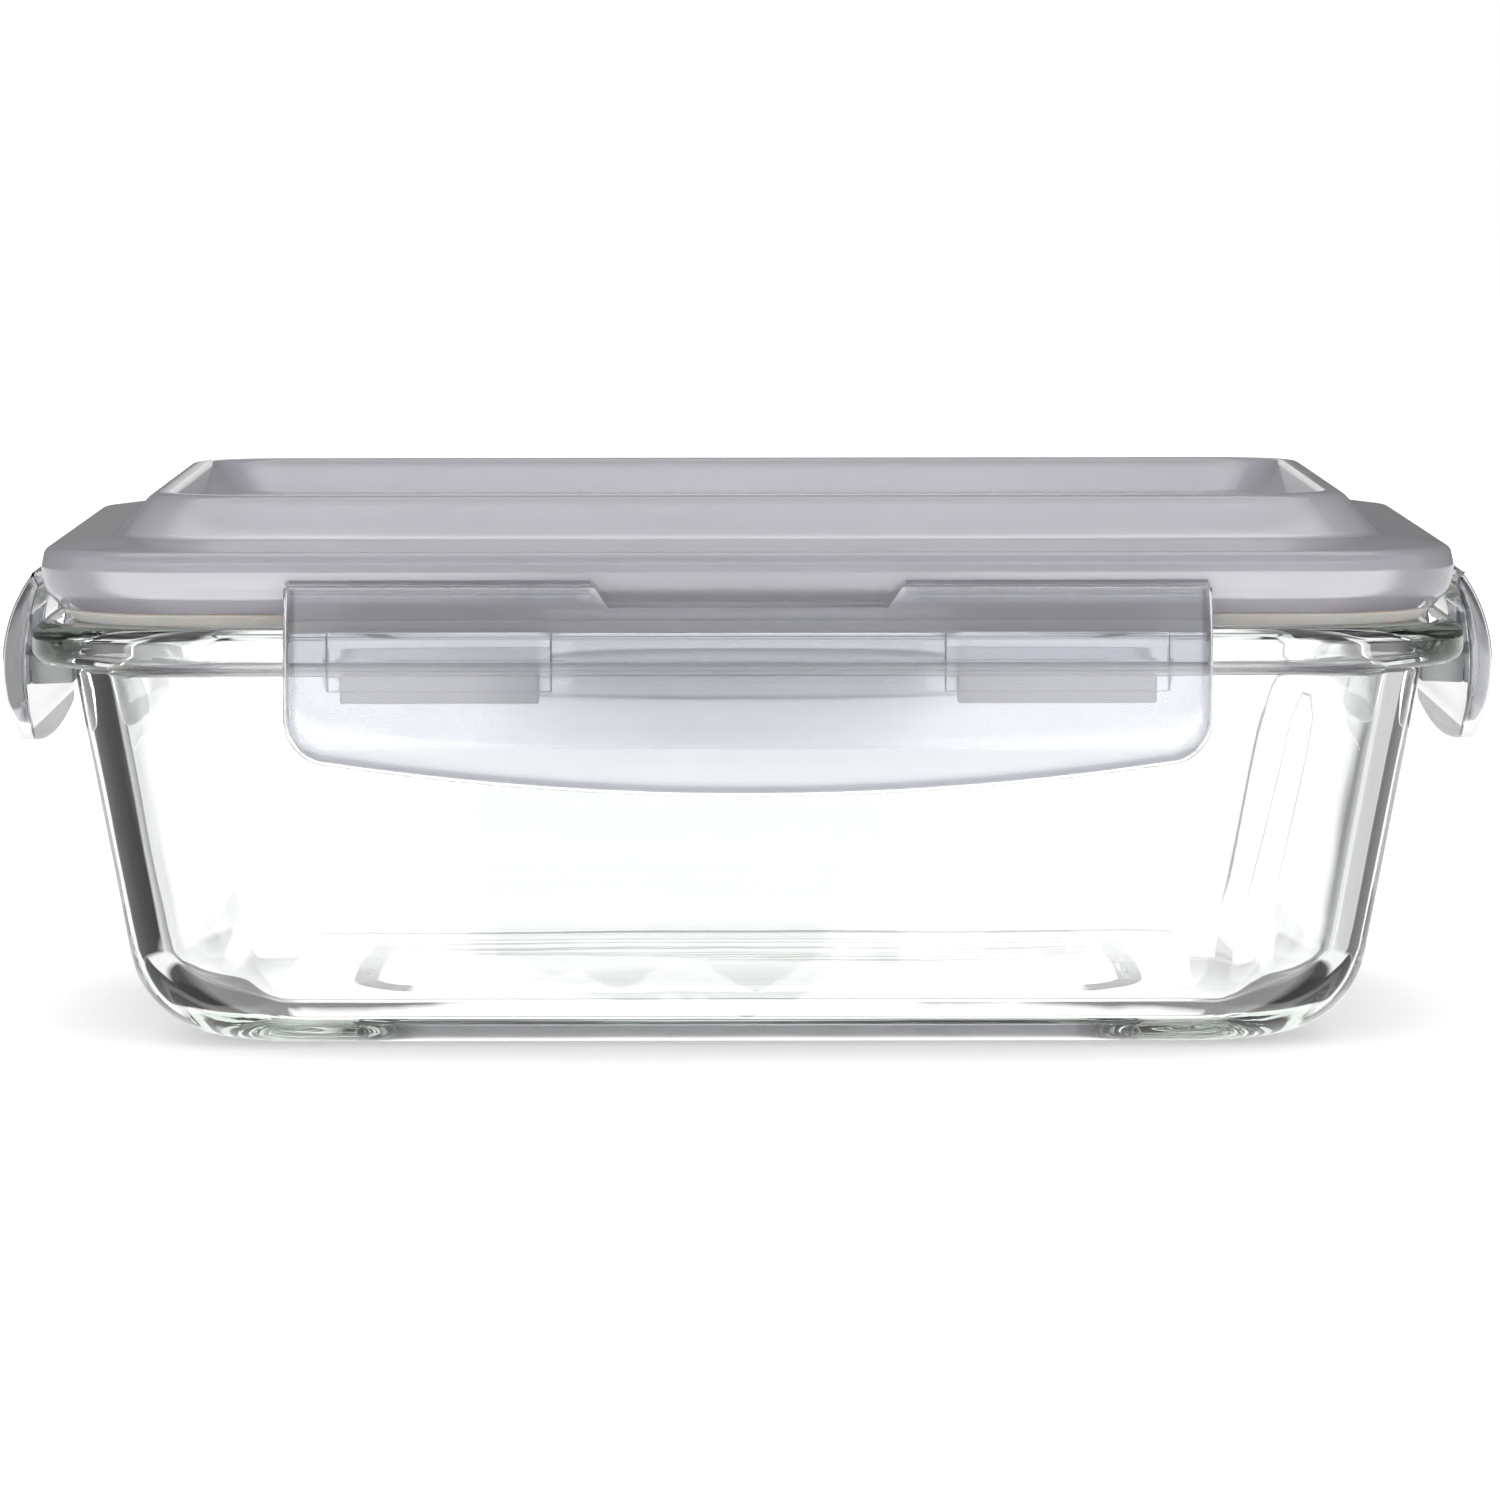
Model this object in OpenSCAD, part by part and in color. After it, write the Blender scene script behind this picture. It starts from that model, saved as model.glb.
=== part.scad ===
// Rectangular snap lid food container: a pressed glass dish, a moulded
// translucent lid with a silicone seal, and four flaps that fold down on living
// hinges and hook under the rim of the glass.
//
// Millimetres, +Z up. The origin is the middle of the face the dish stands on,
// +X runs along the long side and the front is -Y.

/* [Dish] */
// Length of the glass rim along X
rim_length = 205; // [195:1:215]
// Width of the glass rim along Y
rim_width = 155; // [145:1:165]
// Height of the glass dish
dish_height = 60.8; // [57:0.1:65]
// Corner radius of the rim seen from above
rim_corner = 22; // [20:1:24]
// Height of the band that runs round the rim
rim_band = 6; // [5:0.1:6.5]
// How far the rim stands out from the wall below it
rim_overhang = 5.7; // [5.4:0.1:6.2]
// Thickness of the glass wall
wall = 4.3; // [3.5:0.1:5]
// Thickness of the glass floor
floor_glass = 5; // [4:0.1:6]
// Lean of the walls from the vertical
wall_lean = 10.3; // [8:0.1:12]
// How far the front and back walls lean, as a share of the ends
front_share = 0.85; // [0.8:0.01:1]
// Outer radius between the walls and the base
base_fillet = 15; // [12:0.5:17]
// Depth of the shallow recess under the base
base_recess = 1; // [0.5:0.1:1.5]

/* [Lid] */
// Height of the lid's ridge above the glass rim
lid_rise = 18.1; // [17:0.1:20]
// Gap from the edge of the rim back to the lid's skirt
skirt_setback = 1.4; // [1:0.1:2]
// Depth of the stacking recess in the top
stack_depth = 5.3; // [4.8:0.1:6]
// Thickness of the moulded sheet
sheet = 1.7; // [1.3:0.1:2]

/* [Latches] */
// Length of the front and back flaps
long_flap = 130.6; // [110:0.1:138]
// Length of the flaps at the two ends
end_flap = 84; // [74:1:90]
// How far the flaps stand out beyond the glass rim
flap_reach = 5.5; // [5:0.1:6]
// How far the corners of a flap hang below its hinge
flap_drop = 24; // [22.8:0.1:25]
// Radius of the bow along a flap's free edge
bow_radius = 394; // [300:1:500]
// Length of one hook rib on a long flap
long_hook = 28; // [20:1:30]
// Length of one hook rib on an end flap
end_hook = 19; // [14:1:20]

/* [Hidden] */

glass_colour = [0.86, 0.93, 0.90, 0.45];
lid_colour = [0.80, 0.80, 0.85, 0.75];
seal_colour = [0.92, 0.90, 0.86];
flap_colour = [0.90, 0.90, 0.92, 0.6];
rib_colour = [0.82, 0.83, 0.84, 0.8];

// Steps round each plan corner, and degrees of turn per step along a profile
corner_steps = 7;
profile_step = 22;

// How fast a plan corner tightens as a ring moves inwards
dish_tighten = 0.35;
lid_tighten = 0.5;

// Dish profile
rim_bottom = dish_height - rim_band;
rim_round = 2.3;
inner_edge_round = 2;
underside_fillet = 1.5;
inner_fillet = 11;
lean_slope = tan(wall_lean);
wall_offset = wall / cos(wall_lean);
recess_half = [55.5, 43];
recess_round = 8;
recess_edge = 1.5;

// Lid levels
lid_top = dish_height + lid_rise;
recess_floor = lid_top - stack_depth;
flange_top = lid_top - 7.2;
skirt_lip = dish_height + 1.9;
rib_bottom = dish_height - 1.3;
seal_bottom = dish_height + 0.1;
seal_top = dish_height + 4.7;
lid_half = [rim_length / 2 - skirt_setback, rim_width / 2 - skirt_setback];
lid_corner = rim_corner - skirt_setback;

// Flap section, measured outwards from the rim's edge and up from the base
hinge_up = dish_height + 6;
hinge_out = flap_reach - 4.5;
flap_radius = 22.6;
flap_middle = hinge_up - 13.5;
flap_inner_radius = 40;
flap_inner_reach = flap_reach - 3.5;
wedge_in = flap_reach - 5.4;
wedge_drop = 1.9;
lip_top = hinge_up - 22.5;
lip_foot = hinge_up - 32;
lip_inner = [flap_inner_reach - 0.95, flap_inner_reach - 1.2];
lip_outer = [arc_reach(flap_radius, flap_reach, flap_middle - lip_top), flap_reach - 2.6];
flap_corner = 6.5;
notch_depth = 2.8;
notch_slant = 2;
long_notch = 43.3;
end_notch = 26;
pocket_floor = flap_inner_reach + 0.6;
pocket_margin = 1.75;

// Hook rib section
hook_top = rim_bottom - 0.3;
hook_bottom = hook_top - 4.4;
hook_tip = -4.3;
long_hook_at = long_flap / 2 - 21.8;
end_hook_at = end_flap / 2 - 17.5;

// Hinge web
web_gap = 0.12;
web_thick = 0.5;
web_root = [-1.72, -1.5];
web_rise = 1.2;
web_tip = hinge_out - web_gap;

// ---- Outline helpers ----

function unit(v) = v / norm(v);
function turned(v, angle) =
    [v.x * cos(angle) - v.y * sin(angle), v.x * sin(angle) + v.y * cos(angle)];

// One rounded corner b of a path a-b-c, as the points of its arc
function corner_arc(a, b, c, r) =
    r == 0 ? [b] :
    let (to_a = unit(a - b), to_c = unit(c - b), angle = acos(to_a * to_c),
         centre = b + unit(to_a + to_c) * r / sin(angle / 2),
         start = b + to_a * r / tan(angle / 2),
         sweep = (180 - angle) * sign(cross(b - a, c - b)),
         steps = max(2, ceil(abs(sweep) / profile_step)))
    [for (i = [0:steps]) centre + turned(start - centre, sweep * i / steps)];

function xy(p) = [p.x, p.y];

// A closed or open path of [x, y, radius] points with its corners rounded
function rounded(path, closed = false) =
    let (last = len(path) - 1)
    [for (i = [0:last])
        for (p = (!closed && (i == 0 || i == last)) ? [xy(path[i])] :
            corner_arc(xy(path[i == 0 ? last : i - 1]), xy(path[i]),
                       xy(path[i == last ? 0 : i + 1]), path[i].z))
        p];

// A rounded rectangle of half sizes half, corner radius r, at height z
function ring(half, r, z) =
    [for (quarter = [0:3])
        let (side = [quarter == 0 || quarter == 3 ? 1 : -1, quarter < 2 ? 1 : -1])
        for (k = [0:corner_steps])
            let (angle = 90 * quarter + 90 * k / corner_steps)
            [side.x * (half.x - r) + r * cos(angle), side.y * (half.y - r) + r * sin(angle), z]];

// Rings joined into a solid, closed by flat ends or, as a tube, onto itself
module loft(rings, tube = false) {
    n = len(rings[0]);
    count = len(rings);
    spans = tube ? count : count - 1;
    polyhedron(
        points = [for (r = rings) for (p = r) p],
        faces = concat(
            [for (i = [0:spans - 1]) for (k = [0:n - 1])
                let (a = i * n, b = (i + 1) % count * n, next = (k + 1) % n)
                for (face = [[a + k, a + next, b + next], [a + k, b + next, b + k]]) face],
            tube ? [] : [[for (k = [n - 1:-1:0]) k], [for (k = [0:n - 1]) (count - 1) * n + k]]));
}

// ---- Dish ----

// Inset of the wall's outer face from the rim's edge, at height z
function wall_inset(z) = rim_overhang + (rim_bottom - z) * lean_slope;

function dish_ring(p) =
    ring([rim_length / 2 - p.x, rim_width / 2 - front_share * p.x],
         rim_corner - dish_tighten * p.x, p.y);

// Inset and height of the dish's section, from the base out and round to the floor
dish_path = [
    [36, 0, 0],
    [wall_inset(0), 0, base_fillet],
    [wall_inset(rim_bottom), rim_bottom, underside_fillet],
    [0, rim_bottom, rim_round],
    [0, dish_height, rim_round],
    [wall_inset(dish_height) + wall_offset, dish_height, inner_edge_round],
    [wall_inset(floor_glass) + wall_offset, floor_glass, inner_fillet],
    [36, floor_glass, 0]
];

module glass_dish() {
    recess = [
        ring([recess_half.x - recess_edge, recess_half.y - recess_edge],
             recess_round - recess_edge, base_recess),
        ring([recess_half.x + recess_edge, recess_half.y + recess_edge],
             recess_round + recess_edge, 0)
    ];
    section = rounded(dish_path);
    standing = [for (i = [1:len(section) - 1]) dish_ring(section[i])];
    color(glass_colour) loft(concat(recess, standing));
}

// ---- Lid ----

function lid_ring(p) =
    ring([lid_half.x - p.x, lid_half.y - p.x], lid_corner - lid_tighten * p.x, p.y);

panel_inset = 37.6;
panel_rise = 0.6;

// Inset and height of the lid's section, from the raised panel in the recess out
// over the ridge and the skirt, and back underneath
lid_path = [
    [panel_inset, recess_floor + panel_rise, 0],
    [panel_inset - 0.8, recess_floor, 0],
    [22.2, recess_floor, 1.6],
    [18.4, lid_top, 1.4],
    [15.6, lid_top, 2.2],
    [10.2, flange_top + 1.2, 2.6],
    [0.6, flange_top - 0.2, 1.4],
    [0, skirt_lip + 6, 2],
    [0.5, skirt_lip + 2.6, 4],
    [2.9, skirt_lip, 0.4],
    [4.2, skirt_lip + 0.9, 0],
    [sheet, skirt_lip + 4.2, 2],
    [sheet + 0.3, flange_top - sheet - 0.1, 0.8],
    [9.8, flange_top - sheet + 0.9, 0.4],
    [9.8, rib_bottom, 0],
    [11.2, rib_bottom, 0],
    [11.3, flange_top - 0.4, 0.8],
    [16, lid_top - sheet, 1.2],
    [17.8, lid_top - sheet, 1],
    [21.6, recess_floor - sheet, 1],
    [40, recess_floor - sheet, 0]
];

module lid_panel() {
    color(lid_colour) loft([for (p = rounded(lid_path)) lid_ring(p)]);
}

// Inset and height of the seal's section, which fills the channel behind the skirt
seal_path = [
    [4.8, seal_bottom, 0.8],
    [8.4, seal_bottom, 0.8],
    [9.5, seal_bottom + 1, 0],
    [9.5, seal_top, 0.4],
    [4.2, seal_top, 0.4],
    [4.4, skirt_lip + 0.8, 0],
    [3.3, skirt_lip - 0.2, 0.3]
];

module seal_gasket() {
    color(seal_colour) loft([for (p = rounded(seal_path, true)) lid_ring(p)], tube = true);
}

// ---- Latches ----
// A latch is drawn with the rim's edge at y = 0 and the outside towards -Y.

module at_front() translate([0, -rim_width / 2, 0]) children();
module at_back() translate([0, rim_width / 2, 0]) rotate([0, 0, 180]) children();
module at_left() translate([-rim_length / 2, 0, 0]) rotate([0, 0, -90]) children();
module at_right() translate([rim_length / 2, 0, 0]) rotate([0, 0, 90]) children();

// How far a cylinder of radius r that reaches out to reach still stands out, dz above its middle
function arc_reach(r, reach, dz) = reach - r + sqrt(r * r - dz * dz);

// Sweeps a section of [-outwards, up] points along the latch
module along_latch(length) rotate([90, 0, 90]) linear_extrude(height = length, center = true) children();

// Mirrored section coordinates, so outward distances stay positive in the lists
function section_points(points) = [for (p = points) [-p.x, p.y]];

module flap_section() {
    difference() {
        intersection() {
            translate([flap_radius - flap_reach, flap_middle]) circle(r = flap_radius, $fn = 180);
            polygon(section_points([
                [8, lip_top], [8, hinge_up], [hinge_out, hinge_up],
                [wedge_in, hinge_up - wedge_drop], [-2, hinge_up - wedge_drop], [-2, lip_top]
            ]));
        }
        translate([flap_inner_radius - flap_inner_reach, flap_middle - 0.3])
            circle(r = flap_inner_radius, $fn = 180);
    }
    polygon(section_points([
        [lip_inner.x, lip_top], [lip_outer.x, lip_top],
        [lip_outer.y, lip_foot], [lip_inner.y, lip_foot]
    ]));
}

// How far a flap's bowed free edge hangs below its corners, at x from the middle
function bow(length, x) =
    sqrt(pow(bow_radius, 2) - x * x) - sqrt(pow(bow_radius, 2) - pow(length / 2, 2));

// Outline of a flap seen from the front, with a notch in its top between the webs
module flap_outline(length, notch) {
    half = length / 2;
    low = hinge_up - flap_drop;
    bow_half = half - 2 * flap_corner;
    bow_steps = 8;
    polygon(rounded(concat(
        [[half, hinge_up, 0], [notch / 2, hinge_up, 0],
         [notch / 2 - notch_slant, hinge_up - notch_depth, 0],
         [notch_slant - notch / 2, hinge_up - notch_depth, 0],
         [-notch / 2, hinge_up, 0], [-half, hinge_up, 0], [-half, low + 0.6, flap_corner]],
        [for (i = [0:bow_steps]) let (x = bow_half * (2 * i / bow_steps - 1))
            [x, low - bow(length, x), 0]],
        [[half, low + 0.6, flap_corner]]), true));
}

module flap(length, notch, hook, hook_at) {
    color(flap_colour) difference() {
        intersection() {
            along_latch(length) flap_section();
            rotate([90, 0, 0]) linear_extrude(height = 40, center = true) flap_outline(length, notch);
        }
        for (side = [-1, 1])
            translate([side * hook_at - hook / 2 - pocket_margin, -pocket_floor, hook_top - 2.4])
                cube([hook + 2 * pocket_margin, 12, 8.7]);
    }
}

// Two ribs that reach under the glass rim, each flush with the flap behind it
module hook_ribs(length, notch, hook, hook_at) {
    color(rib_colour) difference() {
        for (side = [-1, 1]) translate([side * hook_at, 0, 0]) along_latch(hook)
            polygon(section_points([
                [3, hook_bottom], [3, hook_top], [hook_tip + 0.7, hook_top],
                [hook_tip, hook_top - 0.7], [hook_tip, hook_bottom + 0.2]
            ]));
        flap(length, notch, hook, hook_at);
    }
}

// Two thin strips that join the lid's skirt to the top edge of a flap
module hinge_web(length, notch) {
    strip = length / 2 - notch / 2 - 0.8;
    color(lid_colour) for (side = [-1, 1])
        translate([side * (notch / 2 + strip / 2), 0, 0]) along_latch(strip)
            polygon(section_points([
                [web_tip, hinge_up],
                [web_tip - web_thick * (hinge_out - wedge_in) / wedge_drop, hinge_up - web_thick],
                [web_root[0], hinge_up - 0.3], [web_root[1], hinge_up + web_rise]
            ]));
}

module latch_front() at_front() flap(long_flap, long_notch, long_hook, long_hook_at);
module latch_back() at_back() flap(long_flap, long_notch, long_hook, long_hook_at);
module latch_left() at_left() flap(end_flap, end_notch, end_hook, end_hook_at);
module latch_right() at_right() flap(end_flap, end_notch, end_hook, end_hook_at);

module hook_ribs_front() at_front() hook_ribs(long_flap, long_notch, long_hook, long_hook_at);
module hook_ribs_back() at_back() hook_ribs(long_flap, long_notch, long_hook, long_hook_at);
module hook_ribs_left() at_left() hook_ribs(end_flap, end_notch, end_hook, end_hook_at);
module hook_ribs_right() at_right() hook_ribs(end_flap, end_notch, end_hook, end_hook_at);

module hinge_web_front() at_front() hinge_web(long_flap, long_notch);
module hinge_web_back() at_back() hinge_web(long_flap, long_notch);
module hinge_web_left() at_left() hinge_web(end_flap, end_notch);
module hinge_web_right() at_right() hinge_web(end_flap, end_notch);

glass_dish();
lid_panel();
seal_gasket();
latch_front();
latch_back();
latch_left();
latch_right();
hinge_web_front();
hinge_web_back();
hinge_web_left();
hinge_web_right();
hook_ribs_front();
hook_ribs_back();
hook_ribs_left();
hook_ribs_right();
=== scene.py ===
"""Looks for a snap lid food container: clear pressed glass dish, translucent lid, silicone
seal and four translucent flaps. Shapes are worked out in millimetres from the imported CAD
boxes and written to the meshes in metres."""
import math

import bmesh
import bpy
from mathutils import Matrix, Vector, noise


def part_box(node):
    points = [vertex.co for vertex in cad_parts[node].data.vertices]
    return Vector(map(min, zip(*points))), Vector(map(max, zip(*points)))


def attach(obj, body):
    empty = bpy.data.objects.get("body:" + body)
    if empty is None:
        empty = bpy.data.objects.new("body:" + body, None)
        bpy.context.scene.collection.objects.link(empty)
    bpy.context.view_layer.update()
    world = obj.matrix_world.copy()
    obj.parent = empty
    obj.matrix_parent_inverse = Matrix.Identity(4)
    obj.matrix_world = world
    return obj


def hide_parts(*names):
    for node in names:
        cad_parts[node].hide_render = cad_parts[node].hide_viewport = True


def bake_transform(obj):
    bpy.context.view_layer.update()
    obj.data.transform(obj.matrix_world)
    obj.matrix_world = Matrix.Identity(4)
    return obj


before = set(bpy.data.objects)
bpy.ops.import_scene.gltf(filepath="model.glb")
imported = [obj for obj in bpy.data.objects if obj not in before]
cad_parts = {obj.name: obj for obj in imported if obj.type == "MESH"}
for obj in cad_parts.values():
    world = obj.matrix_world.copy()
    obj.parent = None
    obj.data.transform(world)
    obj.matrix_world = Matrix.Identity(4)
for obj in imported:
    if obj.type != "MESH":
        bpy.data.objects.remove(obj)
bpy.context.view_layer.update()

MM = 0.001


def box_mm(node):
    low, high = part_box(node)
    return Vector(low) / MM, Vector(high) / MM


# ---- Sizes, in millimetres ----

_, dish_high = box_mm("glass_dish")
lid_low, lid_high = box_mm("lid_panel")
seal_low, seal_high = box_mm("seal_gasket")
flap_low, flap_high = box_mm("latch_front")
end_flap_low, end_flap_high = box_mm("latch_right")
hook_low, hook_high = box_mm("hook_ribs_front")
_, end_hook_high = box_mm("hook_ribs_right")

RIM_HALF = (dish_high.x, dish_high.y)
DISH_HEIGHT = dish_high.z
RIM_CORNER = 22.0
RIM_BAND = 6.0
RIM_OVERHANG = 5.7
RIM_BOTTOM = DISH_HEIGHT - RIM_BAND
WALL = 4.3
FLOOR = 5.0
WALL_LEAN = math.radians(10.3)
LEAN_SLOPE = math.tan(WALL_LEAN)
WALL_OFFSET = WALL / math.cos(WALL_LEAN)
FRONT_SHARE = 0.85
DISH_TIGHTEN = 0.35
BASE_FILLET = 15.0
INNER_FILLET = 11.0
FLAT_INSET = 36.0
RECESS_HALF = (55.5, 43.0)
RECESS_ROUND = 8.0
RECESS_DEPTH = 1.5
RECESS_EDGE = 7.5
RIPPLE_AT = 73.0
RIPPLE_LEAN = 0.2
RIPPLE_TALL = 0.9
RIPPLE_WIDE = 2.6
WAVES = ((38, 0.10), (110, 0.02))

LID_TOP = lid_high.z
LID_HALF = (lid_high.x, lid_high.y)
LID_CORNER = RIM_CORNER - 1.4
LID_TIGHTEN = 0.5
SHEET = 1.7
RECESS_FLOOR = LID_TOP - 5.3
FLANGE_TOP = LID_TOP - 7.2
SKIRT_LIP = DISH_HEIGHT + 1.9
RIB_BOTTOM = lid_low.z
PANEL_INSET = 37.6
PANEL_RISE = 0.6
DISC_RADIUS = 13.0
DISC_DEPTH = 0.5

FLAP_REACH = -flap_low.y - RIM_HALF[1]
HINGE_UP = flap_high.z
HINGE_OUT = FLAP_REACH - 4.5
FLAP_RADIUS = 22.6
FLAP_MIDDLE = HINGE_UP - 13.5
FLAP_INNER_RADIUS = 40.0
FLAP_INNER_REACH = FLAP_REACH - 3.5
WEDGE_DROP = 1.9
LIP_TOP = HINGE_UP - 22.5
LIP_FOOT = HINGE_UP - 32.0
LIP_SOFTEN = 0.24
FLAP_DROP = 24.0
FLAP_CORNER = 6.5
BOW_RADIUS = 394.0
NOTCH_DEPTH = 2.8
NOTCH_SLANT = 2.0
POCKET_FLOOR = FLAP_INNER_REACH + 0.6
POCKET_MARGIN = 1.75
POCKET_BELOW = 2.4
POCKET_TALL = 8.7
HOOK_TOP = hook_high.z
HOOK_BOTTOM = hook_low.z
HOOK_TIP = -4.3
HOOK_GAP = 0.06
EDGE_ROUND = 0.35
OUTER_ROLL = 1.0
INNER_ROLL = 0.5
# Width and fade of the band along the flap's free edges that gets painted shade
PAINTED_SHADE_BAND = 1.7
PAINTED_SHADE_FADE = 0.35

# Length, notch, hook length and hook offset of a long flap and an end flap
LONG_HOOK = 28.0
END_HOOK = 19.0
LONG = {"length": flap_high.x - flap_low.x, "notch": 43.3, "hook": LONG_HOOK,
        "hook_at": hook_high.x - LONG_HOOK / 2}
END = {"length": end_flap_high.y - end_flap_low.y, "notch": 26.0, "hook": END_HOOK,
       "hook_at": end_hook_high.y - END_HOOK / 2}
# Angle round from the front, middle of the rim's edge there, and sizes of each flap
SIDES = {
    "front": (0, (0, -RIM_HALF[1]), LONG),
    "back": (180, (0, RIM_HALF[1]), LONG),
    "right": (90, (RIM_HALF[0], 0), END),
    "left": (-90, (-RIM_HALF[0], 0), END),
}

# Smoothness of the rebuilt surfaces
CORNER_STEPS = 28
PROFILE_STEP = 7.0
SIDE_STEPS = (0.015, 0.03, 0.045, 0.06, 0.08, 0.1, 0.14, 0.2, 0.3, 0.5,
              0.7, 0.8, 0.86, 0.9, 0.92, 0.94, 0.955, 0.97, 0.985)


# ---- Mesh helpers ----

def corner_arc(a, b, c, radius):
    """The points of a rounded corner b between a and c, or b itself for radius 0."""
    if not radius:
        return [b]
    to_a, to_c = (a - b).normalized(), (c - b).normalized()
    angle = to_a.angle(to_c)
    centre = b + (to_a + to_c).normalized() * radius / math.sin(angle / 2)
    start = b + to_a * radius / math.tan(angle / 2) - centre
    ab, bc = b - a, c - b
    sweep = math.copysign(math.pi - angle, ab.x * bc.y - ab.y * bc.x)
    steps = max(2, math.ceil(abs(math.degrees(sweep)) / PROFILE_STEP))
    return [centre + Matrix.Rotation(sweep * i / steps, 2) @ start for i in range(steps + 1)]


def rounded(path, closed=False):
    """A path of (x, y, radius) corners as a list of 2D points with the corners rounded."""
    points = [Vector(p[:2]) for p in path]
    out = []
    for i, p in enumerate(path):
        if not closed and i in (0, len(path) - 1):
            out.append(points[i])
        else:
            out += corner_arc(points[i - 1], points[i], points[(i + 1) % len(path)], p[2])
    return out


def ring(half, corner, z):
    """A rounded rectangle as a list of points, the same count for every ring."""
    out = []
    for quarter, (sx, sy) in enumerate(((1, 1), (-1, 1), (-1, -1), (1, -1))):
        for k in range(CORNER_STEPS + 1):
            angle = math.radians(90 * (quarter + k / CORNER_STEPS))
            out.append(Vector((sx * (half[0] - corner) + corner * math.cos(angle),
                               sy * (half[1] - corner) + corner * math.sin(angle), z)))
    sides = []
    for quarter in range(4):
        arc = out[quarter * (CORNER_STEPS + 1):(quarter + 1) * (CORNER_STEPS + 1)]
        after = out[(quarter + 1) * (CORNER_STEPS + 1) % len(out)]
        sides += arc + [arc[-1].lerp(after, share) for share in SIDE_STEPS]
    return sides


def round_ring(radius, z):
    """A circle whose points pair up with those of a rounded rectangle's ring."""
    count = 4 * (CORNER_STEPS + 1 + len(SIDE_STEPS))
    turns = [math.tau * (k - len(SIDE_STEPS) / 2) / count for k in range(count)]
    return [Vector((radius * math.cos(a), radius * math.sin(a), z)) for a in turns]


def mesh_object(name, points, faces, sharp=40):
    """An object from points in millimetres, smooth but for edges sharper than sharp degrees."""
    mesh = bpy.data.meshes.new(name)
    mesh.from_pydata([tuple(p * MM) for p in points], [], faces)
    bm = bmesh.new()
    bm.from_mesh(mesh)
    bmesh.ops.remove_doubles(bm, verts=bm.verts, dist=1e-6)
    bmesh.ops.recalc_face_normals(bm, faces=bm.faces)
    bm.to_mesh(mesh)
    bm.free()
    mesh.shade_smooth()
    mesh.set_sharp_from_angle(angle=math.radians(sharp))
    obj = bpy.data.objects.new(name, mesh)
    bpy.context.scene.collection.objects.link(obj)
    return obj


def loft(name, rings, tube=False, sharp=40):
    """Rings joined into a closed solid, by flat ends or, as a tube, onto itself."""
    n, count = len(rings[0]), len(rings)
    faces = []
    for i in range(count if tube else count - 1):
        a, b = i * n, (i + 1) % count * n
        faces += [(a + k, a + (k + 1) % n, b + (k + 1) % n, b + k) for k in range(n)]
    if not tube:
        faces += [tuple(range(n)), tuple(range((count - 1) * n, count * n))]
    return mesh_object(name, [p for r in rings for p in r], faces, sharp)


def round_edges(obj, width, angle=50):
    """Rounds an object's sharp edges for good."""
    bevel = obj.modifiers.new("round", "BEVEL")
    bevel.width = width * MM
    bevel.segments = 3
    bevel.limit_method = "ANGLE"
    bevel.angle_limit = math.radians(angle)
    bpy.context.view_layer.update()
    depsgraph = bpy.context.evaluated_depsgraph_get()
    mesh = bpy.data.meshes.new_from_object(obj.evaluated_get(depsgraph))
    obj.modifiers.clear()
    obj.data = mesh
    mesh.shade_smooth()
    mesh.set_sharp_from_angle(angle=math.radians(50))


# ---- Dish ----

def wall_inset(z):
    return RIM_OVERHANG + (RIM_BOTTOM - z) * LEAN_SLOPE


def dish_ring(inset, z):
    half = (RIM_HALF[0] - inset, RIM_HALF[1] - FRONT_SHARE * inset)
    return ring(half, RIM_CORNER - DISH_TIGHTEN * inset, z)


def make_dish():
    path = [
        (FLAT_INSET, 0, 0),
        (wall_inset(0), 0, BASE_FILLET),
        (wall_inset(RIM_BOTTOM), RIM_BOTTOM, 1.5),
        (0, RIM_BOTTOM, 2.3),
        (0, DISH_HEIGHT, 2.3),
        (wall_inset(DISH_HEIGHT) + WALL_OFFSET, DISH_HEIGHT, 2),
        (wall_inset(FLOOR) + WALL_OFFSET, FLOOR, INNER_FILLET),
        (FLAT_INSET, FLOOR, 0),
    ]
    section = rounded(path)
    # Extra rings on the straight stretches, so the wall can carry the glass's waviness
    dense = [section[1]]
    for a, b in zip(section[1:], section[2:]):
        pieces = max(1, math.ceil((b - a).length / 3))
        dense += [a.lerp(b, (i + 1) / pieces) for i in range(pieces)]
    recess_path = rounded([(0, RECESS_DEPTH, 0), (6, RECESS_DEPTH, 1), (9.4, 0, 1), (14, 0, 0)])
    recess = []
    for p in recess_path[1:-1]:
        grow = p.x - RECESS_EDGE
        half = (RECESS_HALF[0] + grow, RECESS_HALF[1] + grow)
        recess.append(ring(half, RECESS_ROUND + grow, p.y))
    dish = loft("dish_glass", recess + [dish_ring(p.x, p.y) for p in dense])
    # Pressed glass is never quite flat: its faces wander by a tenth of a millimetre,
    # and one corner has the ripple that the plunger leaves where the glass cools first
    for v in dish.data.vertices:
        p = v.co / MM
        fade = min(1, max(0, (p.z - 7) / 8)) * min(1, max(0, (RIM_BOTTOM - p.z) / 6))
        wave = sum(noise.noise(v.co * scale) * height for scale, height in WAVES)
        if v.normal.y > 0.3 and p.y < 0 and p.x > 0:
            ridge = RIPPLE_AT + RIPPLE_LEAN * (p.z - 30)
            wave += RIPPLE_TALL * math.exp(-((p.x - ridge) / RIPPLE_WIDE) ** 2)
        v.co += v.normal * wave * fade * MM
    return dish


# ---- Lid and seal ----

def lid_ring(inset, z):
    half = (LID_HALF[0] - inset, LID_HALF[1] - inset)
    return ring(half, LID_CORNER - LID_TIGHTEN * inset, z)


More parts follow.
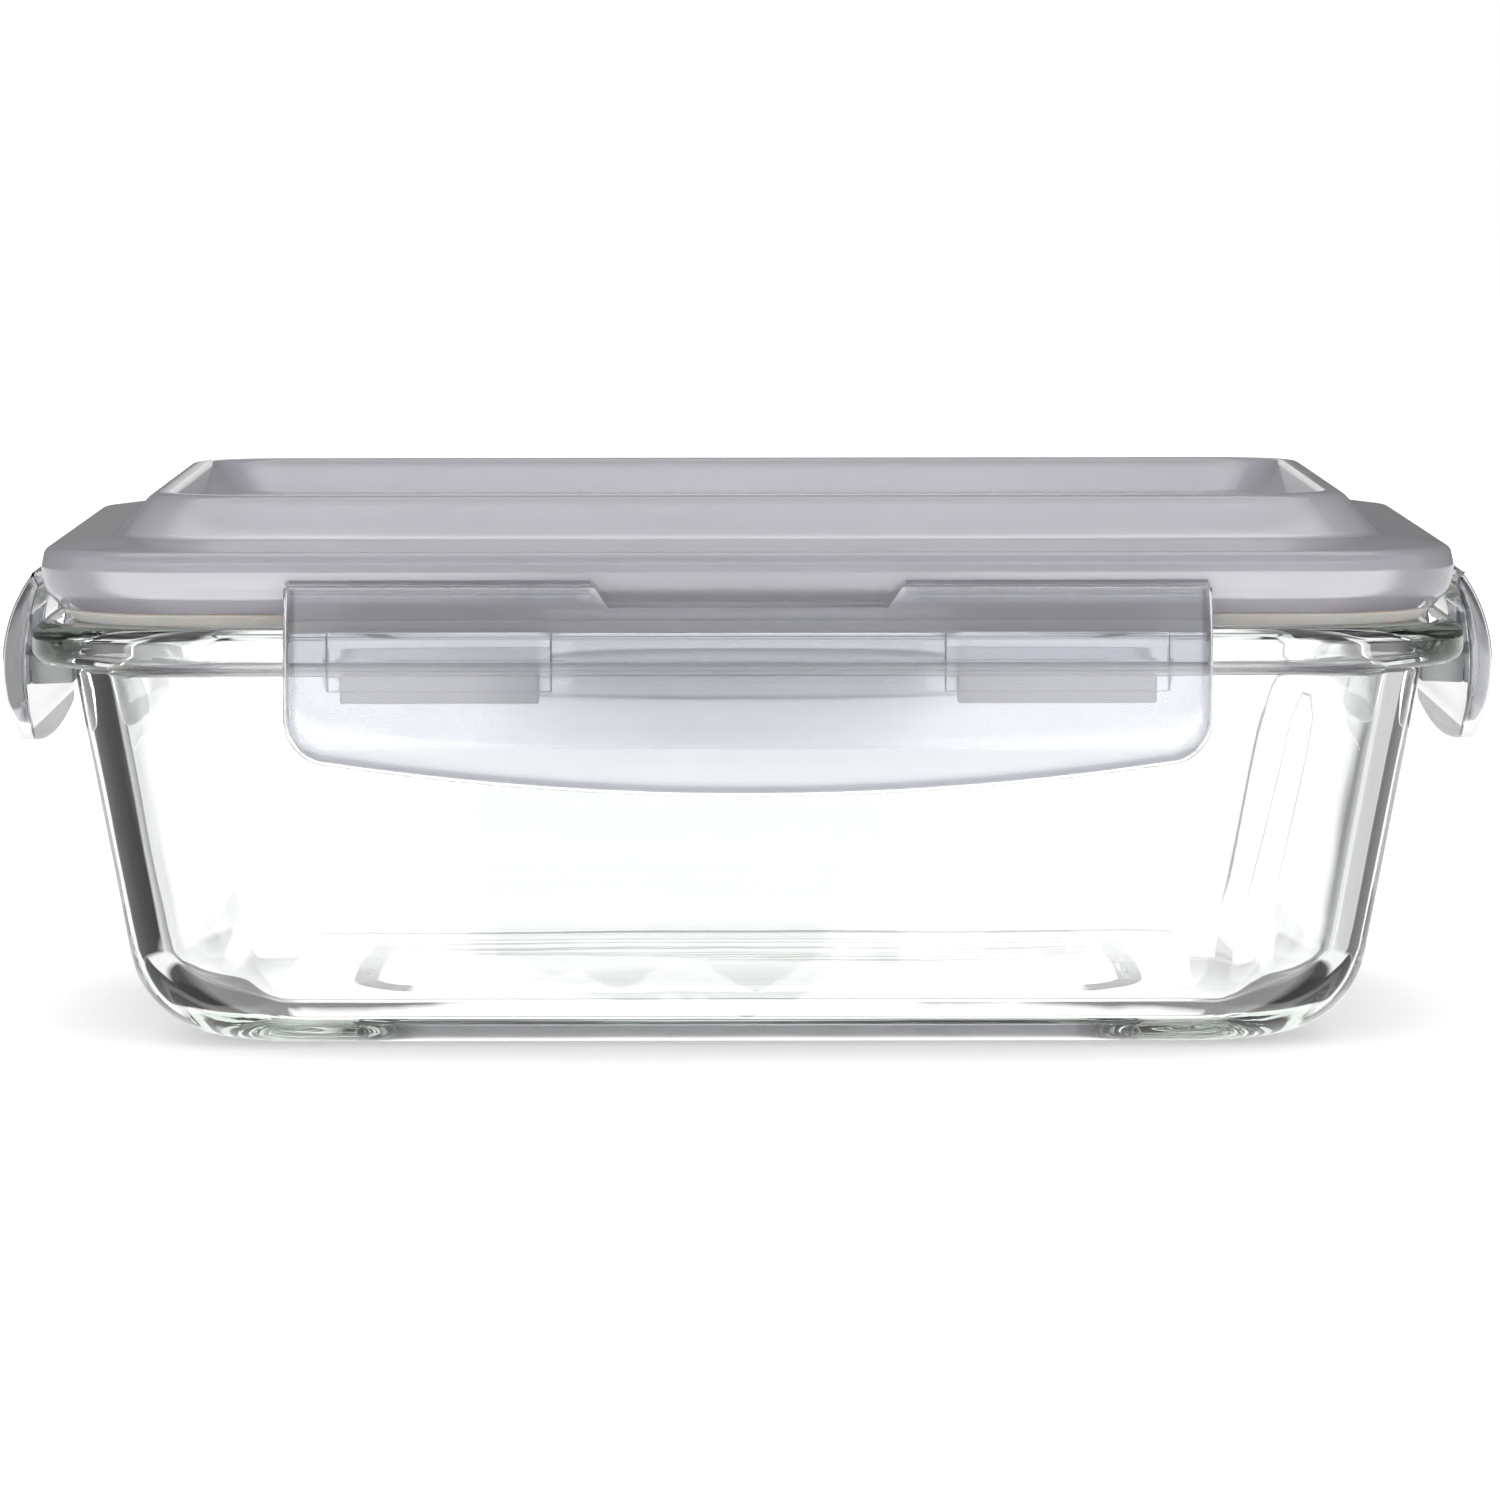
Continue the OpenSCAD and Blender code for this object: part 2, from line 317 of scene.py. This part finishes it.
def make_lid():
    path = [
        (PANEL_INSET + 2, RECESS_FLOOR + PANEL_RISE, 0),
        (PANEL_INSET, RECESS_FLOOR + PANEL_RISE, 0.5),
        (PANEL_INSET - 0.8, RECESS_FLOOR, 0.5),
        (22.2, RECESS_FLOOR, 1.6),
        (18.4, LID_TOP, 1.4),
        (15.6, LID_TOP, 2.2),
        (10.2, FLANGE_TOP + 1.2, 2.6),
        (0.6, FLANGE_TOP - 0.2, 1.4),
        (0, SKIRT_LIP + 6, 2),
        (0.5, SKIRT_LIP + 2.6, 4),
        (2.9, SKIRT_LIP, 0.4),
        (4.2, SKIRT_LIP + 0.9, 0.3),
        (SHEET, SKIRT_LIP + 4.2, 2),
        (SHEET + 0.3, FLANGE_TOP - SHEET - 0.1, 0.8),
        (9.8, FLANGE_TOP - SHEET + 0.9, 0.4),
        (9.8, RIB_BOTTOM, 0.5),
        (11.2, RIB_BOTTOM, 0.5),
        (11.3, FLANGE_TOP - 0.4, 0.8),
        (16, LID_TOP - SHEET, 1.2),
        (17.8, LID_TOP - SHEET, 1),
        (21.6, RECESS_FLOOR - SHEET, 1),
        (40, RECESS_FLOOR - SHEET, 0),
    ]
    panel = RECESS_FLOOR + PANEL_RISE
    disc = [round_ring(r, z) for r, z in (
        (DISC_RADIUS - 1.2, panel - DISC_DEPTH), (DISC_RADIUS - 0.5, panel - DISC_DEPTH + 0.12),
        (DISC_RADIUS, panel - 0.08), (DISC_RADIUS + 0.5, panel))]
    return loft("lid_shell", disc + [lid_ring(p.x, p.y) for p in rounded(path)], sharp=60)


def make_seal():
    path = [
        (4.8, seal_low.z, 0.8),
        (8.4, seal_low.z, 0.8),
        (9.5, seal_low.z + 1, 0.2),
        (9.5, seal_high.z, 0.4),
        (4.2, seal_high.z, 0.4),
        (4.4, SKIRT_LIP + 0.8, 0.3),
        (3.3, SKIRT_LIP - 0.2, 0.3),
    ]
    return loft("seal_ring", [lid_ring(p.x, p.y) for p in rounded(path, True)], tube=True)


# ---- Flaps ----
# Drawn with the rim's edge at y = 0 and the outside towards -y, then turned into place

def arc_reach(radius, reach, dz):
    return reach - radius + math.sqrt(radius * radius - dz * dz)


def soft_max(a, b, width):
    """The larger of two values, rounded off where they meet."""
    return (a + b + math.sqrt((a - b) ** 2 + width ** 2)) / 2


def flap_outer(z):
    arc = arc_reach(FLAP_RADIUS, FLAP_REACH, z - FLAP_MIDDLE)
    crease = arc_reach(FLAP_RADIUS, FLAP_REACH, LIP_TOP - FLAP_MIDDLE)
    foot = FLAP_REACH - 2.6
    lip = foot + (crease - foot) * (z - LIP_FOOT) / (LIP_TOP - LIP_FOOT)
    return arc if z > LIP_TOP + 4 else soft_max(arc, lip, LIP_SOFTEN)


def flap_inner(z):
    if z > HINGE_UP - WEDGE_DROP:
        share = (HINGE_UP - z) / WEDGE_DROP
        return HINGE_OUT - 0.05 - share * (HINGE_OUT - FLAP_REACH + 5.4)
    arc = arc_reach(FLAP_INNER_RADIUS, FLAP_INNER_REACH, z - FLAP_MIDDLE + 0.3)
    foot = FLAP_INNER_REACH - 1.2
    lip = foot + 0.25 * (z - LIP_FOOT) / (LIP_TOP - LIP_FOOT)
    return arc if z > LIP_TOP + 4 else soft_max(arc, lip, LIP_SOFTEN)


def bow(length, x):
    return math.sqrt(BOW_RADIUS ** 2 - x * x) - math.sqrt(BOW_RADIUS ** 2 - length * length / 4)


def flap_bottom(length, x):
    edge = length / 2 - FLAP_CORNER
    low = HINGE_UP - FLAP_DROP
    if abs(x) <= edge:
        return low - bow(length, x)
    along = min(FLAP_CORNER, abs(x) - edge)
    return low - bow(length, edge) + FLAP_CORNER - math.sqrt(FLAP_CORNER ** 2 - along ** 2)


def flap_top(notch, x):
    inside = (notch / 2 - abs(x)) / NOTCH_SLANT
    return HINGE_UP - NOTCH_DEPTH * min(1, max(0, inside))


def spread(values, gap):
    """Sorted values with near doubles dropped."""
    out = []
    for v in sorted(values):
        if not out or v - out[-1] > gap:
            out.append(v)
    return out


def make_flap(name, length, notch, hook, hook_at):
    half = length / 2
    pocket = (hook_at - hook / 2 - POCKET_MARGIN, hook_at + hook / 2 + POCKET_MARGIN)
    pocket_z = (HOOK_TOP - POCKET_BELOW, HOOK_TOP - POCKET_BELOW + POCKET_TALL)
    step = 0.12
    right = [half - FLAP_CORNER + FLAP_CORNER * math.sin(math.radians(a)) for a in range(0, 91, 6)]
    right += [edge + d for edge in pocket for d in (-step, step)]
    right += [notch / 2, notch / 2 - NOTCH_SLANT]
    plain = [x for x in range(0, int(half - FLAP_CORNER), 3)
             if all(abs(x - edge) > 1 for edge in right)]
    columns = spread([s * x for x in right + plain for s in (-1, 1)], 0.15)
    upper_start, lower_start = pocket_z[1] + 0.5, pocket_z[0] - 0.5
    middle = [z + d for z in pocket_z for d in (-step, step)]
    middle += [upper_start - i for i in range(int(upper_start - lower_start))]
    middle = [z for z in spread(middle, 0.2)[::-1] if lower_start < z <= upper_start]

    def heights(x):
        top, bottom = flap_top(notch, x), flap_bottom(length, x)
        upper = [top + (upper_start - top) * i / 6 for i in range(6)]
        rolls = [bottom + OUTER_ROLL * k for k in (1.7, 1.45, 1.1, 0.75, 0.5, 0.3, 0.15, 0.05, 0)]
        lower = [lower_start + (rolls[0] - lower_start) * i / 20 for i in range(20)]
        return upper + middle + lower + rolls

    def to_edge(x, z):
        """How far inside the flap's free edge a point is."""
        corner = half - FLAP_CORNER
        out, down = abs(x) - corner, flap_bottom(length, corner) + FLAP_CORNER - z
        if out > 0 and down > 0:
            return FLAP_CORNER - math.hypot(out, down)
        return min(half - abs(x), z - flap_bottom(length, x))

    def rolled(x, z, radius):
        left = max(0, radius - max(0, to_edge(x, z)))
        return radius - math.sqrt(max(0, radius ** 2 - left ** 2))

    def inner(x, z):
        in_pocket = pocket[0] < abs(x) < pocket[1] and pocket_z[0] < z < pocket_z[1]
        return max(flap_inner(z), POCKET_FLOOR) if in_pocket else flap_inner(z)

    points, rows = [], len(heights(0))
    for x in columns:
        zs = heights(x)
        points += [Vector((x, rolled(x, z, OUTER_ROLL) - flap_outer(z), z)) for z in zs]
        points += [Vector((x, -inner(x, z) - rolled(x, z, INNER_ROLL), z)) for z in reversed(zs)]
    n, faces = 2 * rows, []
    for i in range(len(columns) - 1):
        a, b = i * n, (i + 1) * n
        faces += [(a + k, a + (k + 1) % n, b + (k + 1) % n, b + k) for k in range(n)]
    last = (len(columns) - 1) * n
    for start in (0, last):
        faces += [(start + k, start + k + 1, start + n - 2 - k, start + n - 1 - k)
                  for k in range(rows - 1)]
    flap = mesh_object(name, points, faces, sharp=50)
    round_edges(flap, EDGE_ROUND)
    # Mask of the band along the rolled free edges where the flap material paints shade
    edge = flap.data.attributes.new("edge", "FLOAT", "POINT")
    for v in flap.data.vertices:
        inside = to_edge(v.co.x / MM, v.co.z / MM)
        edge.data[v.index].value = min(1, max(0, (PAINTED_SHADE_BAND - inside) / PAINTED_SHADE_FADE))
    return flap


def make_hooks(name, hook, hook_at):
    """Two ribs that reach in under the glass rim, rooted in the flap's pockets."""
    low = flap_inner(HOOK_BOTTOM) - HOOK_GAP
    high = flap_inner(HOOK_TOP - POCKET_BELOW) - HOOK_GAP
    path = [(POCKET_FLOOR - HOOK_GAP, HOOK_TOP), (HOOK_TIP + 0.7, HOOK_TOP),
            (HOOK_TIP, HOOK_TOP - 0.7), (HOOK_TIP, HOOK_BOTTOM + 0.2), (low, HOOK_BOTTOM),
            (high, HOOK_TOP - POCKET_BELOW), (POCKET_FLOOR - HOOK_GAP, HOOK_TOP - POCKET_BELOW)]
    points, faces, n = [], [], len(path)
    for side in (-1, 1):
        first = len(points)
        for end in (-1, 1):
            x = side * hook_at + end * hook / 2
            points += [Vector((x, -u, z)) for u, z in path]
        faces += [(first + k, first + (k + 1) % n, first + n + (k + 1) % n, first + n + k)
                  for k in range(n)]
        faces += [tuple(range(first, first + n)), tuple(range(first + n, first + 2 * n))]
    hooks = mesh_object(name, points, faces)
    round_edges(hooks, EDGE_ROUND, 30)
    return hooks


def make_webs(name, length, notch):
    """Two living hinge strips, finely divided along and across."""
    root, tip = -1.6, HINGE_OUT + 0.12
    across, along = 14, 24
    points, faces = [], []
    for side in (-1, 1):
        first = len(points)
        ends = (notch / 2 + 0.6, length / 2 - 0.6)
        for i in range(along + 1):
            x = side * (ends[0] + (ends[1] - ends[0]) * i / along)
            top, under = [], []
            for j in range(across + 1):
                share = j / across
                u = root + (tip - root) * share
                thick = 1.3 - 0.9 * min(1, share * 1.6)
                rise = 0.9 * (1 - share) ** 2
                top.append(Vector((x, -u, HINGE_UP + rise)))
                under.append(Vector((x, -u, HINGE_UP + rise - thick)))
            points += top + under[::-1]
        n = 2 * (across + 1)
        for i in range(along):
            a, b = first + i * n, first + (i + 1) * n
            faces += [(a + k, a + (k + 1) % n, b + (k + 1) % n, b + k) for k in range(n)]
        for start in (first, first + along * n):
            faces += [(start + k, start + k + 1, start + n - 2 - k, start + n - 1 - k)
                      for k in range(across)]
    return mesh_object(name, points, faces)


def put_in_place(obj, side):
    """Turns a piece drawn for the front to its side of the container."""
    angle, (x, y), _ = SIDES[side]
    place = Matrix.Translation((x * MM, y * MM, 0)) @ Matrix.Rotation(math.radians(angle), 4, "Z")
    obj.data.transform(place)
    return place


# ---- Materials ----

MATT_ROUGHNESS = 0.28
MATT_FADE = 0.3
COAT_ROUGHNESS = 0.07
LIP_COLOUR = (0.90, 0.91, 0.93)
FLOOR_GLOW = 0.35


class Look:
    """A Principled material, with short ways to add its nodes."""

    def __init__(self, name):
        self.material = bpy.data.materials.new(name)
        self.material.use_nodes = True
        self.nodes, self.links = self.material.node_tree.nodes, self.material.node_tree.links
        self.inputs = self.nodes["Principled BSDF"].inputs
        self.place = self.nodes.new("ShaderNodeTexCoord").outputs["Object"]

    def feed(self, value, socket):
        """Gives a socket a constant, a colour or another socket's output."""
        if isinstance(value, bpy.types.NodeSocket):
            self.links.new(value, socket)
        elif isinstance(value, tuple):
            socket.default_value = (*value, 1)
        else:
            socket.default_value = value

    def texture(self, scale, detail=3.0, stretch=(1, 1, 1)):
        mapping = self.nodes.new("ShaderNodeMapping")
        mapping.inputs["Scale"].default_value = stretch
        self.links.new(self.place, mapping.inputs["Vector"])
        field = self.nodes.new("ShaderNodeTexNoise")
        field.inputs["Scale"].default_value = scale
        field.inputs["Detail"].default_value = detail
        self.links.new(mapping.outputs["Vector"], field.inputs["Vector"])
        return field.outputs["Fac"]

    def ranged(self, value, low, high, start=0.3, stop=0.7):
        node = self.nodes.new("ShaderNodeMapRange")
        for name, setting in (("Value", value), ("From Min", start), ("From Max", stop),
                              ("To Min", low), ("To Max", high)):
            self.feed(setting, node.inputs[name])
        return node.outputs["Result"]

    def mixed(self, factor, first, second):
        node = self.nodes.new("ShaderNodeMix")
        node.data_type = "RGBA"
        for name, setting in (("Factor", factor), ("A", first), ("B", second)):
            self.feed(setting, node.inputs[name])
        return node.outputs["Result"]

    def bumps(self, *layers):
        """Adds bump from (height, distance in metres) layers."""
        normal = None
        for value, distance in layers:
            node = self.nodes.new("ShaderNodeBump")
            node.inputs["Distance"].default_value = distance
            self.links.new(value, node.inputs["Height"])
            if normal:
                self.links.new(normal, node.inputs["Normal"])
            normal = node.outputs["Normal"]
        self.links.new(normal, self.inputs["Normal"])

    def tinted(self, colour, density):
        """Absorbs light inside the solid."""
        tint = self.nodes.new("ShaderNodeVolumeAbsorption")
        tint.inputs["Color"].default_value = (*colour, 1)
        tint.inputs["Density"].default_value = density
        self.links.new(tint.outputs["Volume"], self.nodes["Material Output"].inputs["Volume"])


def glass_material():
    look = Look("clear_glass")
    look.inputs["Transmission Weight"].default_value = 1.0
    look.inputs["IOR"].default_value = 1.5
    clouds = look.ranged(look.texture(30), 0, 1)
    look.feed(look.mixed(clouds, (0.985, 0.995, 0.99), (0.97, 0.985, 0.978)),
              look.inputs["Base Color"])
    look.feed(look.ranged(look.texture(420, 2.0), 0.0, 0.012, 0.5, 0.8), look.inputs["Roughness"])
    look.bumps((look.texture(26, 1.5, (1, 1, 0.6)), 0.00025),
               (look.texture(150, 1.0, (1, 1, 0.3)), 0.00001))
    look.tinted((0.66, 0.80, 0.66), 4.0)
    return look.material


def plastic_material(name, colours, transmission, roughness, tint, density, coat=0,
                     matt_below=None, painted_edge_shade=None):
    """Translucent polypropylene; below the height matt_below it is satin instead of glossy.
    Its darker edge colour is painted shade: it goes where the mesh attribute edge marks a rolled
    edge and stands in for the dark outline that refraction draws along the edges."""
    look = Look(name)
    look.inputs["Transmission Weight"].default_value = transmission
    look.inputs["IOR"].default_value = 1.49
    colour = look.mixed(look.ranged(look.texture(22, 4.0, (1, 1, 0.5)), 0, 1), *colours)
    finish = look.ranged(look.texture(60, 2.0), *roughness)
    if matt_below:
        height = look.nodes.new("ShaderNodeSeparateXYZ")
        look.links.new(look.place, height.inputs["Vector"])
        low = look.ranged(height.outputs["Z"], 1, 0, (matt_below - MATT_FADE) * MM, matt_below * MM)
        total = look.nodes.new("ShaderNodeMath")
        total.operation = "MULTIPLY_ADD"
        for value, socket in zip((low, MATT_ROUGHNESS, finish), total.inputs):
            look.feed(value, socket)
        finish = total.outputs["Value"]
        colour = look.mixed(low, colour, LIP_COLOUR)
    # Painted shade: a darker colour along the rolled edges stands in for the dark outline that
    # refraction draws there
    if painted_edge_shade:
        edge = look.nodes.new("ShaderNodeAttribute")
        edge.attribute_name = "edge"
        colour = look.mixed(edge.outputs["Fac"], colour, painted_edge_shade)
    look.feed(colour, look.inputs["Base Color"])
    look.feed(finish, look.inputs["Roughness"])
    look.inputs["Coat Weight"].default_value = coat
    look.inputs["Coat Roughness"].default_value = COAT_ROUGHNESS
    look.bumps((look.texture(26, 1.0), 0.00003),
               (look.texture(300, 2.0, (1, 0.3, 0.6)), 0.0000008))
    look.tinted(tint, density)
    return look.material


def seal_material():
    look = Look("seal_silicone")
    look.inputs["Subsurface Weight"].default_value = 0.6
    look.inputs["Subsurface Scale"].default_value = 0.002
    look.inputs["IOR"].default_value = 1.41
    look.inputs["Specular IOR Level"].default_value = 0.25
    clouds = look.ranged(look.texture(60), 0, 1)
    look.feed(look.mixed(clouds, (0.60, 0.585, 0.55), (0.64, 0.625, 0.59)),
              look.inputs["Base Color"])
    look.feed(look.ranged(look.texture(200), 0.42, 0.55), look.inputs["Roughness"])
    look.bumps((look.texture(1500, 3.0), 0.000004))
    return look.material


def floor_material():
    look = Look("floor_white")
    look.inputs["Roughness"].default_value = 0.8
    look.feed(look.mixed(look.texture(3), (0.93, 0.93, 0.93), (0.95, 0.95, 0.95)),
              look.inputs["Base Color"])
    look.inputs["Emission Color"].default_value = (1, 1, 1, 1)
    look.inputs["Emission Strength"].default_value = FLOOR_GLOW
    return look.material


# ---- Building ----

glass = glass_material()
lid_plastic = plastic_material(
    "lid_plastic", ((0.70, 0.69, 0.74), (0.74, 0.73, 0.78)), 0.7, (0.29, 0.34),
    (0.60, 0.58, 0.70), 90, coat=0.7)
# The flap's last colour is painted shade along its rolled edges
flap_plastic = plastic_material(
    "flap_plastic", ((0.78, 0.79, 0.835), (0.81, 0.82, 0.86)), 0.88, (0.05, 0.08),
    (0.72, 0.73, 0.77), 8, matt_below=LIP_TOP, painted_edge_shade=(0.50, 0.51, 0.55))
hook_plastic = plastic_material(
    "hook_plastic", ((0.62, 0.63, 0.64), (0.66, 0.67, 0.68)), 0.5, (0.29, 0.35),
    (0.70, 0.72, 0.74), 20)
silicone = seal_material()


def finish_piece(obj, material, node):
    obj.data.materials.clear()
    obj.data.materials.append(material)
    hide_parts(node)


dish = make_dish()
finish_piece(dish, glass, "glass_dish")
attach(dish, "dish")

lid = make_lid()
finish_piece(lid, lid_plastic, "lid_panel")
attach(lid, "lid")

seal = make_seal()
finish_piece(seal, silicone, "seal_gasket")
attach(seal, "lid")

for side, (_, _, sizes) in SIDES.items():
    flap = make_flap("flap_" + side, **sizes)
    place = put_in_place(flap, side)
    finish_piece(flap, flap_plastic, "latch_" + side)
    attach(flap, "flap_" + side)
    hooks = make_hooks("hooks_" + side, sizes["hook"], sizes["hook_at"])
    put_in_place(hooks, side)
    finish_piece(hooks, hook_plastic, "hook_ribs_" + side)
    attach(hooks, "flap_" + side)
    webs = make_webs("webs_" + side, sizes["length"], sizes["notch"])
    put_in_place(webs, side)
    finish_piece(webs, flap_plastic, "hinge_web_" + side)
    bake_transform(webs)


# ---- Studio ----

def pair(low, high, *rest):
    """A flag and its mirror image on the other side."""
    return (low, high, *rest), (-high, -low, *rest)


# Black flags: from and to in degrees round from straight behind the dish, from and to in
# degrees above the horizon, softness in degrees, darkness. Light refracted by the container
# sees the first set, and plain reflections see the second. They are placed for set cameras,
# not for any camera: the lines of sight of this file's own camera and of the views 45,25;
# 225,15; 90,3 and 0,3 pass between them. From elsewhere, such as 60,10, a line of sight can
# meet a flag, and the glass then looks dark grey.
FLAGS = (
    (-64, -23, -20, 2, 3, 1.0),
    (16.5, 43, -20, 2, 3, 0.9),
    (43, 62, -20, 2, 3, 0.35),
    (-9, 9, -36, -30, 1, 0.8),
    (-30, 30, 14, 60, 6, 0.9),
    (-200, 200, 12, 60, 4, 0.6),
    *pair(5, 75, -73, -30, 3, 1.0),
    *pair(9, 36, -32, -19, 2, 1.0),
    *pair(16, 78, -2, 60, 6, 1.0),
    *pair(5, 78, 4, 60, 2, 1.0),
    *pair(66, 98, -12, 12, 4, 0.12),
    *pair(80, 98, -40, -11, 3, 0.6),
    *pair(98, 118, -40, 9, 4, 0.7),
    *pair(118, 154, -40, 9, 6, 0.1),
    *pair(154, 200, -40, 9, 6, 0.6),
    *pair(100, 200, -7, 4, 3, 0.8),
    *pair(100, 200, -60, -24, 5, 0.7),
)
MIRRORED_FLAGS = (
    (-78, -3.6, -2, 60, 1.2, 0.8),
    (3.2, 78, -2, 60, 1.2, 0.85),
    (-30, 30, 13, 24, 3, 0.9),
    (-30, 30, 32, 52, 5, 0.8),
)
# The bright front, and the narrow dark gap in its middle
FRONT_GLOW = 4.8
FRONT_FROM = (110, 20)
FRONT_TOP = (6, 8)
FRONT_GAP = (1.45, 0.3)
GAP_TOP = (13, 3)
# Refracted light sees this share of the front's glow beyond REFRACTED_FROM, and a slightly
# brighter back within BACK_TO
REFRACTED_GLOW = 0.7
REFRACTED_FROM = (157, 8)
REFRACTED_GAIN = 0.13
BACK_TO = (35, 10)
FLOOR_HALF = 4.0
FLOOR_DROP = 0.0002
BOUNCES = 32


def make_floor():
    mesh = bpy.data.meshes.new("floor")
    mesh.from_pydata([(x * FLOOR_HALF, y * FLOOR_HALF, 0)
                      for x, y in ((-1, -1), (1, -1), (1, 1), (-1, 1))], [], [(0, 1, 2, 3)])
    floor = bpy.data.objects.new("floor", mesh)
    bpy.context.scene.collection.objects.link(floor)
    floor.location.z = -FLOOR_DROP
    # Light that has gone through glass sees the studio's flags instead of the floor
    floor.visible_transmission = False
    floor.visible_glossy = False
    mesh.materials.append(floor_material())


def make_light(name, location, aim, size, power):
    data = bpy.data.lights.new(name, "AREA")
    data.shape = "RECTANGLE"
    data.size, data.size_y = size
    data.energy = power
    light = bpy.data.objects.new(name, data)
    bpy.context.scene.collection.objects.link(light)
    light.location = location
    light.rotation_euler = (Vector(aim) - Vector(location)).to_track_quat("-Z", "Y").to_euler()
    return light


def make_world():
    """A white tent, with black flags that draw the dark lines in the glass and a brighter
    front that lights the flap. Only refracted and reflected light sees them."""
    world = bpy.data.worlds.new("studio")
    bpy.context.scene.world = world
    world.use_nodes = True
    nodes, links = world.node_tree.nodes, world.node_tree.links

    def maths(operation, *values, clamp=False):
        node = nodes.new("ShaderNodeMath")
        node.operation = operation
        node.use_clamp = clamp
        for socket, value in zip(node.inputs, values):
            if isinstance(value, (int, float)):
                socket.default_value = value
            else:
                links.new(value, socket)
        return node.outputs["Value"]

    def step(value, edge, soft):
        """0 well below the edge and 1 well above it."""
        return maths("MULTIPLY_ADD", value, 1 / soft, 0.5 - edge / soft, clamp=True)

    def below(value, edge, soft):
        return maths("SUBTRACT", 1, step(value, edge, soft))

    def between(value, low, high, soft):
        return maths("MULTIPLY", step(value, low, soft), below(value, high, soft))

    direction = nodes.new("ShaderNodeSeparateXYZ")
    links.new(nodes.new("ShaderNodeTexCoord").outputs["Generated"], direction.inputs["Vector"])
    x, y, z = direction.outputs
    turn = maths("DEGREES", maths("ARCTAN2", x, y))
    side = maths("ABSOLUTE", turn)
    up = maths("DEGREES", maths("ARCSINE", z))

    ray = nodes.new("ShaderNodeLightPath")
    refracted = ray.outputs["Is Transmission Ray"]
    reflected = maths("SUBTRACT", ray.outputs["Is Glossy Ray"], refracted, clamp=True)
    flags = 0
    for seen_by, group in ((refracted, FLAGS), (reflected, MIRRORED_FLAGS)):
        covered = 0
        for low, high, bottom, top, soft, dark in group:
            inside = maths("MULTIPLY", between(turn, low, high, soft),
                           between(up, bottom, top, soft))
            covered = maths("MAXIMUM", covered, maths("MULTIPLY", inside, dark))
        flags = maths("MULTIPLY_ADD", covered, seen_by, flags)

    gap = maths("MULTIPLY", below(maths("SUBTRACT", 180, side), *FRONT_GAP), below(up, *GAP_TOP))
    front = maths("MULTIPLY", step(side, *FRONT_FROM), maths("SUBTRACT", 1, gap))
    front = maths("MULTIPLY", front, below(up, *FRONT_TOP))
    ahead = maths("MULTIPLY", refracted, step(side, *REFRACTED_FROM))
    front = maths("MULTIPLY", front, maths("MULTIPLY_ADD", ahead, REFRACTED_GLOW, reflected))
    back = maths("MULTIPLY", refracted, below(side, *BACK_TO))
    clear = maths("MULTIPLY", maths("MULTIPLY_ADD", back, REFRACTED_GAIN, 1),
                  maths("SUBTRACT", 1, flags))
    strength = maths("MULTIPLY_ADD", front, FRONT_GLOW, clear)
    links.new(strength, nodes["Background"].inputs["Strength"])
    nodes["Background"].inputs["Color"].default_value = (1, 1, 1, 1)


def make_camera():
    """The camera stands 1.2 m from the front flap, above the lid, and looks slightly down."""
    location = Vector((-0.0037, -1.2854, 0.1393))
    pitch, yaw, roll = math.radians(4.52), math.radians(0.186), math.radians(-0.067)
    ahead = Vector((math.sin(yaw) * math.cos(pitch), math.cos(yaw) * math.cos(pitch),
                    -math.sin(pitch)))
    right = Vector((math.cos(yaw), -math.sin(yaw), 0))
    up = right.cross(ahead)
    turned_right = right * math.cos(roll) + up * math.sin(roll)
    turned_up = up * math.cos(roll) - right * math.sin(roll)
    data = bpy.data.cameras.new("camera")
    data.lens = 206.5
    data.sensor_width = 36
    camera = bpy.data.objects.new("camera", data)
    bpy.context.scene.collection.objects.link(camera)
    turn = Matrix((turned_right, turned_up, -ahead)).transposed()
    camera.matrix_world = Matrix.Translation(location) @ turn.to_4x4()
    bpy.context.scene.camera = camera


make_floor()
make_world()
make_camera()
make_light("overhead", (0, 0, 1.3), (0, 0, 0), (1.6, 1.2), 6)
scene = bpy.context.scene
scene.view_settings.view_transform = "Standard"
scene.cycles.max_bounces = BOUNCES
scene.cycles.transmission_bounces = BOUNCES
scene.cycles.glossy_bounces = BOUNCES
